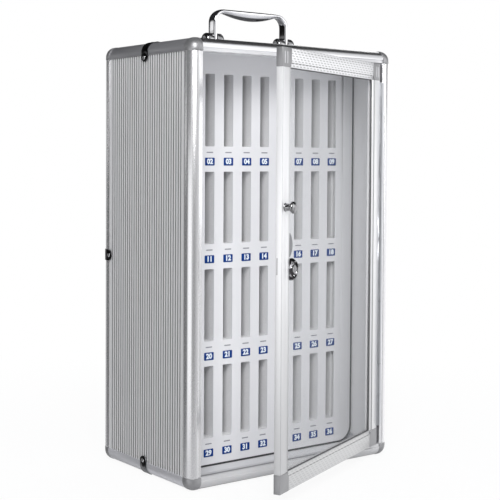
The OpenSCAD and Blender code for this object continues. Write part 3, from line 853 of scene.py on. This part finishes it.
def add_world(scene):
    """White for the camera, soft grey light, and walls, roof and ground for polished metal."""
    scene.world = bpy.data.worlds.new("studio")
    scene.world.use_nodes = True
    w = Finish("studio", scene.world.node_tree)
    x, y, z = w.axes(w.wire(w.add("ShaderNodeTexCoord"), "Generated"))
    turn = (y.math("ARCTAN2", x) / math.pi * 0.5 + 1.0).math("FRACT")
    stops = [(degrees / 360.0, (v, v, v * 1.01)) for degrees, v in WALLS]
    walls = w.wire(w.add("ShaderNodeValToRGB", {"stops": stops}, {0: turn}))
    roof = z.span(0.12, 0.24) * y.span(-0.75, -0.15) + z.span(0.80, 0.92)
    slit = z.span(0.085, 0.12) * y.span(0.45, 0.60) * x.span(0.40, 0.50) * x.span(0.70, 0.80, 1, 0)
    roof = roof.math("MAXIMUM", slit).math("MINIMUM", 1.0)
    ground = (z * -1.0).span(0.36, 0.62)
    gleam = z.span(0.097, 0.105) * z.span(0.12, 0.32, 1, 0) * y.span(0.60, 0.66)
    gleam = gleam * x.span(-0.76, -0.72) * x.span(-0.54, -0.50, 1, 0)
    shiny = w.blend(roof, walls, (0.02, 0.02, 0.021))
    shiny = w.blend(ground, shiny, (0.48, 0.48, 0.49))
    shiny = w.blend(gleam, shiny, WHITE)
    path = w.add("ShaderNodeLightPath")
    clear = w.wire(path, "Is Camera Ray") + w.wire(path, "Is Transmission Ray")
    seen = w.blend(clear.math("MINIMUM", 1.0), shiny, WHITE)
    direct = (clear + w.wire(path, "Is Glossy Ray")).math("MINIMUM", 1.0)
    lit = w.blend(direct, (0.62, 0.63, 0.65), seen)
    background = w.add("ShaderNodeBackground", None, {"Color": lit, "Strength": 1.0})
    output = w.add("ShaderNodeOutputWorld")
    w.tree.links.new(background.outputs[0], output.inputs[0])


def add_lamp(name, place, size, power):
    deselect()
    bpy.ops.object.light_add(type="AREA", location=place)
    lamp = bpy.context.object
    lamp.name = name
    lamp.data.shape, lamp.data.size, lamp.data.energy = "DISK", size, power
    lamp.rotation_euler = (LAMP_TARGET - Vector(place)).to_track_quat("-Z", "Y").to_euler()


def add_camera(scene):
    """The camera, at the viewing angle that was fitted to the edges of the case."""
    deselect()
    bpy.ops.object.camera_add()
    camera = bpy.context.object
    camera.name = "camera"
    camera.data.sensor_fit = "HORIZONTAL"
    camera.data.sensor_width = SENSOR_WIDTH
    camera.data.lens = SENSOR_WIDTH * FOCAL_PIXELS / IMAGE_SIDE
    camera.data.shift_y = SHIFT_PIXELS / IMAGE_SIDE
    level = math.cos(PITCH)
    forward = Vector((math.sin(YAW) * level, math.cos(YAW) * level, -math.sin(PITCH)))
    flat_right = Vector((math.cos(YAW), -math.sin(YAW), 0))
    flat_up = flat_right.cross(forward)
    right = flat_right * math.cos(ROLL) + flat_up * math.sin(ROLL)
    up = flat_up * math.cos(ROLL) - flat_right * math.sin(ROLL)
    matrix = Matrix((right, up, -forward)).transposed().to_4x4()
    matrix.translation = CAMERA_PLACE
    camera.matrix_world = matrix
    scene.camera = camera


class CABINET_OT_stage(bpy.types.Operator):
    """Adds the pale floor, the soft lamps, the world and the camera"""

    bl_idname = "cabinet.stage"
    bl_label = "Stage"

    def execute(self, context):
        context.scene.view_settings.view_transform = "Standard"
        add_floor()
        add_world(context.scene)
        for lamp in LAMPS:
            add_lamp(*lamp)
        add_camera(context.scene)
        return {"FINISHED"}


# ---- case ----
# each profile and the axis along which it runs
PROFILES = {
    "front_post_left": 2,
    "front_post_right": 2,
    "front_rail_top": 0,
    "front_rail_bottom": 0,
    "rear_post_left": 2,
    "rear_post_right": 2,
    "rear_rail_top": 0,
    "rear_rail_bottom": 0,
    "side_rail_top_left": 1,
    "side_rail_top_right": 1,
    "side_rail_bottom_left": 1,
    "side_rail_bottom_right": 1,
}


class CABINET_OT_profiles(bpy.types.Operator):
    """Adds the rounded aluminium profiles along the twelve edges of the case"""

    bl_idname = "cabinet.profiles"
    bl_label = "Edge profiles"

    def execute(self, context):
        for node, run in PROFILES.items():
            metal = front_sill("front_sill") if node == "front_rail_bottom" else satin(node, run)
            stand_in(node, node + "_profile", "case", "frame", metal, sizes().edge_softness)
        return {"FINISHED"}


class CABINET_OT_panels(bpy.types.Operator):
    """Finishes the ribbed side and back sheets, the top sheet and the base"""

    bl_idname = "cabinet.panels"
    bl_label = "Case panels"

    def execute(self, context):
        half_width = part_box("front_post_right")[1].x
        half_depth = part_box("rear_post_left")[1].y
        for side in ("left", "right"):
            carry("side_panel_" + side, ribbed("ribbed_sheet_side", 0, half_width))
        carry("back_panel", ribbed("ribbed_sheet_back", 1, half_depth))
        carry("top_panel", brushed("top_sheet", colours().ribbed, 0, 0.45, 0.36))
        carry("bottom_panel", base_sheet("base_sheet"))
        return {"FINISHED"}


class CABINET_OT_corners(bpy.types.Operator):
    """Adds the eight cast corner pieces of the case"""

    bl_idname = "cabinet.corners"
    bl_label = "Corner pieces"

    def execute(self, context):
        stand_in("case_corners", "corner_castings", "case", "corner", cast("cast_corner"), 0.3 * MM)
        return {"FINISHED"}


class CABINET_OT_straps(bpy.types.Operator):
    """Adds the plated straps around the edges, with an eye and a rivet at each end"""

    bl_idname = "cabinet.straps"
    bl_label = "Edge straps"

    def execute(self, context):
        # painted reflection: the straps near the base take a lighter steel tone
        dark = plated("strap_plating", colours().clip, 0.16, 0.12, shade(colours().steel, 0.6))
        stand_in("edge_clips", "edge_straps", "case", "chrome", dark, 0.2 * MM)
        eye_section = [(2.5, 0), (3.9, 0), (4.2, 0.25), (3.9, 0.6), (2.7, 0.5)]
        head_section = [(2.0, -2.0), (2.0, 0), (2.7, 0.05), (2.6, 0.5), (1.9, 0.95), (0.9, 1.2), (0.02, 1.25)]
        eye = smooth(lathe("eye", eye_section), 50)
        head = smooth(lathe("head", head_section), 60)
        post_low, post_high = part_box("front_post_left")
        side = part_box("front_post_right")[1].x
        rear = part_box("rear_post_left")[1].y
        top = post_high.z + post_low.z
        inset = post_low.z + 2.3 * MM
        thick = 1.0 * MM
        places = []
        for s in (-1, 1):
            places += [
                aim((s * (side + thick), 0, top - inset), (s, 0, 0)),
                aim((s * (side - inset), 0, top + thick), (0, 0, 1)),
                aim((s * (side + thick), 0, inset), (s, 0, 0)),
                aim((s * (side + thick), rear - inset, top / 2), (s, 0, 0)),
                aim((s * (side - inset), rear + thick, top / 2), (0, 1, 0)),
            ]
        eyes = repeated("strap_eyes", eye, places)
        done(eyes, "case", "chrome", plated("dark_plating", colours().clip))
        rivets = repeated("strap_rivets", head, places)
        done(rivets, "case", "chrome", bright_plating(), "clip_rivets")
        return {"FINISHED"}


# ---- slotted insert ----
def slot_centres():
    """Number, x and z of every slot, row by row from the upper left."""
    s = sizes()
    for row in range(s.rows):
        for column in range(s.columns):
            x = (column - (s.columns - 1) / 2) * s.column_pitch
            z = s.grid_height + ((s.rows - 1) / 2 - row) * s.row_pitch
            yield row * s.columns + column + 1, x, z


def shadow_strip_stations(low, high, radius):
    """A dark strip's section, put in as painted shadow in the gap round the insert, carried once round the
    insert and its rounded corners.
    """
    section = [(-1.0, 1.6), (-1.0, -0.5), (-0.7, -0.8), (0.8, -0.8), (1.15, -0.4), (1.15, 1.8)]
    steps = 8
    stations = []
    for quarter, (across, rise) in enumerate(((1, 1), (-1, 1), (-1, -1), (1, -1))):
        corner = Vector(((high if across > 0 else low).x, low.y, (high if rise > 0 else low).z))
        centre = corner - Vector((across, 0, rise)) * radius
        for i in range(steps + 1):
            turn = math.pi / 2 * (quarter + i / steps)
            way = Vector((math.cos(turn), 0, math.sin(turn)))
            stations.append([centre + way * (radius + u * MM) + Vector((0, v * MM, 0)) for u, v in section])
    return stations + stations[:1]


class CABINET_OT_insert(bpy.types.Operator):
    """Adds the white slotted panel and finishes the foam grid behind it"""

    bl_idname = "cabinet.insert"
    bl_label = "Slotted insert"

    def execute(self, context):
        low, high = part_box("slot_panel")
        panel = dressed("slot_panel", "slotted_insert")
        # the panel's sides bow back in the frame, and are drawn flat here
        flat = max(x for _, x, _ in slot_centres()) + sizes().slot_width / 2 + 2 * MM
        bow = high.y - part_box("foam_bars")[0].y
        for vertex in panel.data.vertices:
            outward = max(0.0, abs(vertex.co.x) - flat) / (high.x - flat)
            vertex.co.y -= bow * outward**2
        # painted shade: the insert's right margin is darker
        white = moulded("white_insert", colours().insert, dull=(high.x - 38 * MM, high.x))
        done(smooth(panel, 30), "case", "insert", white, "slot_panel")
        # painted shadow: a dark strip in the gap round the insert, in a darker copy of the seal tone
        edge = rings("insert_shadow_strip", shadow_strip_stations(low, high, sizes().insert_corner), closed=True)
        shadow_strip_finish = moulded("edge_rubber", shade(colours().seal, 0.6), 0.55, 0.2)
        done(smooth(edge, 50), "case", "insert", shadow_strip_finish)
        for node in ("foam_bars", "foam_spacers", "back_lining"):
            carry(node, foam("foam_grid"))
        return {"FINISHED"}


def number_figure(number, centre):
    """The slot's two figures, raised a little from the plate."""
    deselect()
    bpy.ops.object.text_add()
    text = bpy.context.object.data
    text.body = "%02d" % number
    text.align_x, text.align_y = "CENTER", "CENTER"
    text.size = sizes().digit_height
    text.resolution_u = 3
    text.offset = 0.40 * MM
    text.extrude = 0.08 * MM
    bpy.ops.object.convert(target="MESH")
    return turned(bpy.context.object, aim(centre, (0, -1, 0)))


class CABINET_OT_plates(bpy.types.Operator):
    """Adds a numbered plate and a thin mark line below every slot"""

    bl_idname = "cabinet.plates"
    bl_label = "Number plates"

    def execute(self, context):
        s = sizes()
        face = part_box("slot_panel")[0].y
        half = s.slot_width / 2
        blank = cube("plate", (-half, -s.plate_thickness, -s.plate_height), (half, 0.1 * MM, 0))
        round_corners(blank, 0.9 * MM)
        pick(blank, "FACE", lambda p: p.normal.y < -0.9)
        bpy.ops.mesh.bevel(offset=0.12 * MM, segments=2, affect="EDGES")
        smooth(blank, 40)
        half_line, half_stroke = s.mark_width / 2, s.mark_height / 2
        line = cube("line", (-half_line, -0.15 * MM, -half_stroke), (half_line, 0.05 * MM, half_stroke))
        round_corners(line, 0.55 * MM)
        object_mode()
        feet = [(number, x, z - s.slot_height / 2) for number, x, z in slot_centres()]
        plates = [Matrix.Translation((x, face, foot - s.plate_drop)) for _, x, foot in feet]
        marks = [Matrix.Translation((x, face, foot - s.mark_drop)) for _, x, foot in feet]
        c = colours()
        blue = moulded("plate_blue", c.plate, 0.5, 0.15)
        done(repeated("number_plates", blank, plates), "case", "insert", blue)
        done(repeated("mark_lines", line, marks), "case", "insert", moulded("mark_grey", c.mark, 0.5))
        front = face - s.plate_thickness - 0.03 * MM
        drop = s.plate_drop + s.plate_height / 2
        figures = [number_figure(number, (x, front, foot - drop)) for number, x, foot in feet]
        done(join("plate_figures", figures), "case", "insert", moulded("figure_white", c.figure, 0.5, 0.2))
        return {"FINISHED"}


# ---- door ----
# the axis along each profile and the one across it, the side of its bead, and its shading
DOOR_PROFILES = {
    "door_stile_free": (2, 0, 1, {"bead": 0.80, "edge": 0.35, "foot": 0.64}),
    "door_stile_hinge": (2, 0, -1, {"bead": 0.88, "seam": 0.8, "foot": 0.84}),
    "door_rail_top": (0, 2, -1, {"seam": 1.0, "dashes": 0.75}),
    "door_rail_bottom": (0, 2, 1, {"seam": 0.4, "dashes": 0.25, "depth": 1.08, "foot": 0.66}),
}


class CABINET_OT_door_frame(bpy.types.Operator):
    """Adds the door's four profiles and the slit beside the lock"""

    bl_idname = "cabinet.door_frame"
    bl_label = "Door frame"

    def execute(self, context):
        for node, (run, across, toward, shading) in DOOR_PROFILES.items():
            low, high = closed_box(node)
            joint = (high if toward > 0 else low)[across] - toward * sizes().bead_width
            metal = door_aluminium(node + "_aluminium", run, across, joint, toward, low.x, **shading)
            stand_in(node, node + "_profile", "door", "frame", metal, 0.25 * MM)
        low, high = closed_box("door_stile_free")
        lock_height = JOINTS["lock_turn"]["pos_m"][2]
        slit = cube(
            "latch_slit",
            (low.x - 0.04 * MM, high.y - 2.4 * MM, lock_height - 4.5 * MM),
            (low.x + 0.3 * MM, high.y - 1.7 * MM, lock_height + 14 * MM),
        )
        dark = moulded("slit_dark", colours().seal, 0.6, 0.2)
        done(turned(slit, door_swing()), "door", "insert", dark)
        return {"FINISHED"}


class CABINET_OT_pane(bpy.types.Operator):
    """Finishes the clear pane"""

    bl_idname = "cabinet.pane"
    bl_label = "Clear pane"

    def execute(self, context):
        carry("door_pane", clear_pane("clear_pane"))
        return {"FINISHED"}


class CABINET_OT_pane_seal(bpy.types.Operator):
    """Adds the dark seal that runs around the pane against the bead"""

    bl_idname = "cabinet.pane_seal"
    bl_label = "Pane seal"

    def execute(self, context):
        left, right = closed_box("door_stile_free")[1].x, closed_box("door_stile_hinge")[0].x
        foot, head = closed_box("door_rail_bottom")[1].z, closed_box("door_rail_top")[0].z
        face = sizes().pane_face
        wide, high = 1.1 * MM, 1.0 * MM
        lip = [(0, 0.05), (0, -0.8), (0.25, -1.0), (0.6, -0.9), (0.9, -0.5), (1.0, 0.05)]
        corners = [(left, foot, 1, 1), (right, foot, -1, 1), (right, head, -1, -1), (left, head, 1, -1)]
        stations = []
        for x, z, a, b in corners + corners[:1]:
            stations.append([(x + a * u * wide, face + v * high, z + b * u * wide) for u, v in lip])
        piece = smooth(turned(rings("pane_seal", stations, closed=True), door_swing()), 50)
        done(piece, "door", "insert", seal_rubber())
        return {"FINISHED"}


class CABINET_OT_door_corners(bpy.types.Operator):
    """Adds the four cast corner pieces of the door, the upper two with ridges"""

    bl_idname = "cabinet.door_corners"
    bl_label = "Door corners"

    def execute(self, context):
        grey = cast("door_corner_grey")
        stand_in("door_corners", "door_corner_castings", "door", "corner", grey, 0.4 * MM)
        low, high = closed_box("door_corners")
        tall, tip = 14.0, 0.02
        cap = [(tip, 0), (0.5, 0.13), (0.87, 0.5), (1.0, 1.0)]
        ridge = lathe("ridge", cap + [(r, tall - h) for r, h in reversed(cap)], 20)
        foot = high.z - (3.8 + tall) * MM
        face = low.y + 0.62 * MM
        places = []
        for corner, inward in ((low.x, 1), (high.x, -1)):
            for offset in (5.2, 11.2):
                places.append(Matrix.Translation((corner + inward * offset * MM, face, foot)))
        piece = turned(repeated("door_corner_ridges", smooth(ridge, 60), places), door_swing())
        # painted highlight: the ridges take a lighter copy of the cast tone
        done(piece, "door", "corner", cast("door_corner_ridge", 2.1))
        return {"FINISHED"}


class CABINET_OT_hinge(bpy.types.Operator):
    """Adds the knuckled hinge with its pin and screws, and dark fillers at its ends as painted shadow"""

    bl_idname = "cabinet.hinge"
    bl_label = "Hinge"

    def execute(self, context):
        steel = plated("hinge_steel", shade(colours().steel, 1.45), 0.30, 0.16)
        for part in ("leaf_case", "leaf_door", "pin", "case_screws", "door_screws"):
            node, body = "hinge_" + part, "door" if "door" in part else "case"
            stand_in(node, node + "_steel", body, "steel", steel)
        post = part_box("front_post_right")[0].x
        leaf_low, leaf_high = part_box("hinge_leaf_case")
        door_low, door_high = closed_box("door_corners")
        front, back = door_low.y + 2.3 * MM, door_high.y + 4.2 * MM
        ends = []
        for foot, head in (
            (door_low.z + 0.6 * MM, leaf_low.z - 1 * MM),
            (leaf_high.z + 1 * MM, door_high.z - 0.6 * MM),
        ):
            end = cube("end", (post - 3 * MM, front, foot), (post - 0.02 * MM, back, head))
            ends.append(smooth(soften(end, 1.2 * MM, 3), 40))
        # painted shadow: dark fillers at the hinge's ends
        done(join("hinge_end_shadow_fillers", ends), "case", "insert", seal_rubber())
        return {"FINISHED"}


class CABINET_OT_strike(bpy.types.Operator):
    """Adds the strike plate on the post and its screws"""

    bl_idname = "cabinet.strike"
    bl_label = "Strike plate"

    def execute(self, context):
        for node in ("strike_plate", "strike_screws"):
            stand_in(node, node + "_steel", "case", "steel", zinc_steel())
        return {"FINISHED"}


class CABINET_OT_knob(bpy.types.Operator):
    """Adds the turned pull knob and the screw behind it"""

    bl_idname = "cabinet.knob"
    bl_label = "Pull knob"

    def execute(self, context):
        r = sizes().knob_radius / MM
        foot_and_neck = [
            (1.5, 0), (6.6, 0), (6.7, 0.2), (6.5, 0.5), (4.9, 0.8), (4.4, 1.3), (4.2, 2.4), (4.1, 4.6),
            (3.8, 5.8), (3.6, 6.5), (4.2, 7.2), (5.5, 8.1),
        ]
        head = [
            (r, 9.0), (1.02 * r, 9.8), (r, 10.8), (0.92 * r, 11.8), (0.74 * r, 12.6), (0.46 * r, 13.2),
            (0.15 * r, 13.4), (0.01 * r, 13.42),
        ]
        piece = smooth(lathe("pull_knob", foot_and_neck + head, 48), 40)
        low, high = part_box("knob")
        way, half_length = door_front(), 6.7 * MM
        turned(piece, aim((low + high) / 2 - way * half_length, way))
        done(piece, "door", "chrome", smoked_plating(), "knob")
        stand_in("knob_screw", "knob_screw_steel", "door", "steel", zinc_steel())
        return {"FINISHED"}


class CABINET_OT_lock(bpy.types.Operator):
    """Adds the cam lock, its face cut flat towards the stile, and the plate above it"""

    bl_idname = "cabinet.lock"
    bl_label = "Cam lock"

    def execute(self, context):
        r = sizes().lock_radius / MM
        section = [
            (3.5, -7.6), (5.0, -7.6), (5.0, 0.0), (r, 0.0), (r + 0.1, 0.9), (r - 0.1, 2.0), (r - 0.8, 3.3),
            (r - 1.9, 4.5), (r - 2.9, 4.9), (r - 3.7, 4.5), (r - 4.2, 3.4), (r - 4.7, 2.3), (6.5, 1.9),
            (6.1, 2.3), (5.9, 3.6), (5.5, 4.5), (4.9, 4.8), (4.5, 4.5), (4.4, 3.0), (3.5, 3.0), (3.5, -7.6),
        ]
        body = lathe("lock_body", section, 64, closed=True)
        edit(body)
        bpy.ops.mesh.select_all(action="SELECT")
        flat_side = -5.3 * MM
        bpy.ops.mesh.bisect(plane_co=(flat_side, 0, 0), plane_no=(-1, 0, 0), use_fill=True, clear_outer=True)
        object_mode()
        smooth(body, 40)
        way = door_front()
        centre = Vector(JOINTS["lock_turn"]["pos_m"])
        pane_face = door_swing() @ Vector((0, sizes().pane_face, 0))
        turned(body, aim(centre + way * way.dot(pane_face - centre), way))
        done(body, "door", "chrome", lock_plating("lock_plating", centre), "lock_housing")
        stand_in("lock_plug", "lock_plug_face", "lock", "chrome", smoked_plating(), 0.2 * MM)
        dull = plated("dull_cover", shade(colours().steel, 0.7), 0.35, 0.1)
        stand_in("half_round_plate", "cover_plate", "door", "steel", dull, 0.35 * MM)
        for node, body in (("lock_nut", "door"), ("lock_cam", "lock"), ("cam_screw", "lock")):
            stand_in(node, node + "_steel", body, "steel", zinc_steel(), 0.2 * MM)
        return {"FINISHED"}


# ---- handle ----
def bail_path(high, width, axis):
    """From foot to foot over the grip: the place, the direction and the depth of each section."""
    s = sizes()
    thick = s.strap_thickness
    half, crown, bend = high.x - thick / 2, high.z - thick / 2, s.handle_bend - thick / 2
    flat = half - bend
    left = [(-half, axis.z - 0.98 * width * math.cos(math.pi / 2 * i / 8), 0.0) for i in range(9)]
    left.append((-half, (axis.z + crown - bend) / 2, 0.0))
    for i in range(9):
        turn = math.pi / 2 * i / 8
        left.append((bend * (1 - math.cos(turn)) - half, crown - bend * (1 - math.sin(turn)), turn))
    path = [(Vector((x, 0, z)), Vector((math.sin(t), 0, math.cos(t))), thick) for x, z, t in left]
    for i in range(1, 24):
        x = flat * (i / 12 - 1)
        swell = (s.grip_thickness - thick) * (1 - (x / flat) ** 2)
        path.append((Vector((x, 0, crown)), Vector((1, 0, 0)), thick + swell))
    for x, z, t in reversed(left):
        path.append((Vector((-x, 0, z)), Vector((math.sin(t), 0, -math.cos(t))), thick))
    return path


def bail_section(place, tangent, depth, width, axis):
    """A flattened oval: its outer half follows the path, and its inner half swells to the depth."""
    thick, count = sizes().strap_thickness, 28
    outward = Vector((-tangent.z, 0, tangent.x))
    drop = max(0.0, axis.z - place.z)
    wide = math.sqrt(max(width**2 - drop**2, (0.12 * width) ** 2))
    flatness = 0.4 + 0.5 * abs(tangent.x) ** 3
    ring = []
    for k in range(count):
        turn = math.tau * k / count
        u, v = math.cos(turn), math.sin(turn)
        u = math.copysign(abs(u) ** flatness, u) * wide
        v = math.copysign(abs(v) ** (flatness + 0.06), v) * thick / 2
        if v < 0:
            v *= 1 + 2 * (depth - thick) / thick * max(0.0, 1 - 0.45 * (u / wide) ** 2)
        ring.append(place + outward * v + Vector((0, u, 0)))
    return ring


class CABINET_OT_handle(bpy.types.Operator):
    """Adds the folding bail handle with its feet, pins and screws"""

    bl_idname = "cabinet.handle"
    bl_label = "Bail handle"

    def execute(self, context):
        low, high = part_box("handle_bail")
        width = (high.y - low.y) / 2
        axis = Vector(JOINTS["handle_fold"]["pos_m"])
        stations = [bail_section(*section, width, axis) for section in bail_path(high, width, axis)]
        bail = smooth(rings("bail", stations), 38)
        done(bail, "handle", "chrome", bail_plating("bail_plating", high), "handle_bail")
        dark = plated("dark_chrome", shade(colours().chrome, 0.45), 0.10)
        stand_in("handle_brackets", "handle_feet", "case", "chrome", dark, 0.5 * MM)
        stand_in("handle_pins", "handle_pivot_pins", "case", "chrome", bright_plating(), 0.2 * MM)
        stand_in("bracket_screws", "handle_screws", "case", "steel", zinc_steel())
        return {"FINISHED"}


class CABINET_PT_sidebar(bpy.types.Panel):
    """Lists the sizes, the colours and the pieces"""

    bl_label = "Cabinet"
    bl_idname = "CABINET_PT_sidebar"
    bl_space_type = "VIEW_3D"
    bl_region_type = "UI"
    bl_category = "Cabinet"

    def draw(self, context):
        layout = self.layout
        for group in (context.scene.cabinet_sizes, context.scene.cabinet_colours):
            box = layout.box()
            for name in group.bl_rna.properties.keys():
                if name not in ("rna_type", "name"):
                    box.prop(group, name)
        for operator in OPERATORS:
            layout.operator(operator.bl_idname)


OPERATORS = (
    CABINET_OT_stage,
    CABINET_OT_profiles,
    CABINET_OT_panels,
    CABINET_OT_corners,
    CABINET_OT_straps,
    CABINET_OT_insert,
    CABINET_OT_plates,
    CABINET_OT_door_frame,
    CABINET_OT_pane_seal,
    CABINET_OT_door_corners,
    CABINET_OT_pane,
    CABINET_OT_hinge,
    CABINET_OT_strike,
    CABINET_OT_knob,
    CABINET_OT_lock,
    CABINET_OT_handle,
)
CLASSES = (CabinetSizes, CabinetColours, *OPERATORS, CABINET_PT_sidebar)


def register():
    for cls in CLASSES:
        bpy.utils.register_class(cls)
    bpy.types.Scene.cabinet_sizes = bpy.props.PointerProperty(type=CabinetSizes)
    bpy.types.Scene.cabinet_colours = bpy.props.PointerProperty(type=CabinetColours)


def unregister():
    del bpy.types.Scene.cabinet_colours
    del bpy.types.Scene.cabinet_sizes
    for cls in reversed(CLASSES):
        bpy.utils.unregister_class(cls)


def main():
    register()
    for operator in OPERATORS:
        group, name = operator.bl_idname.split(".")
        getattr(getattr(bpy.ops, group), name)()
    deselect()


if __name__ == "__main__":
    main()
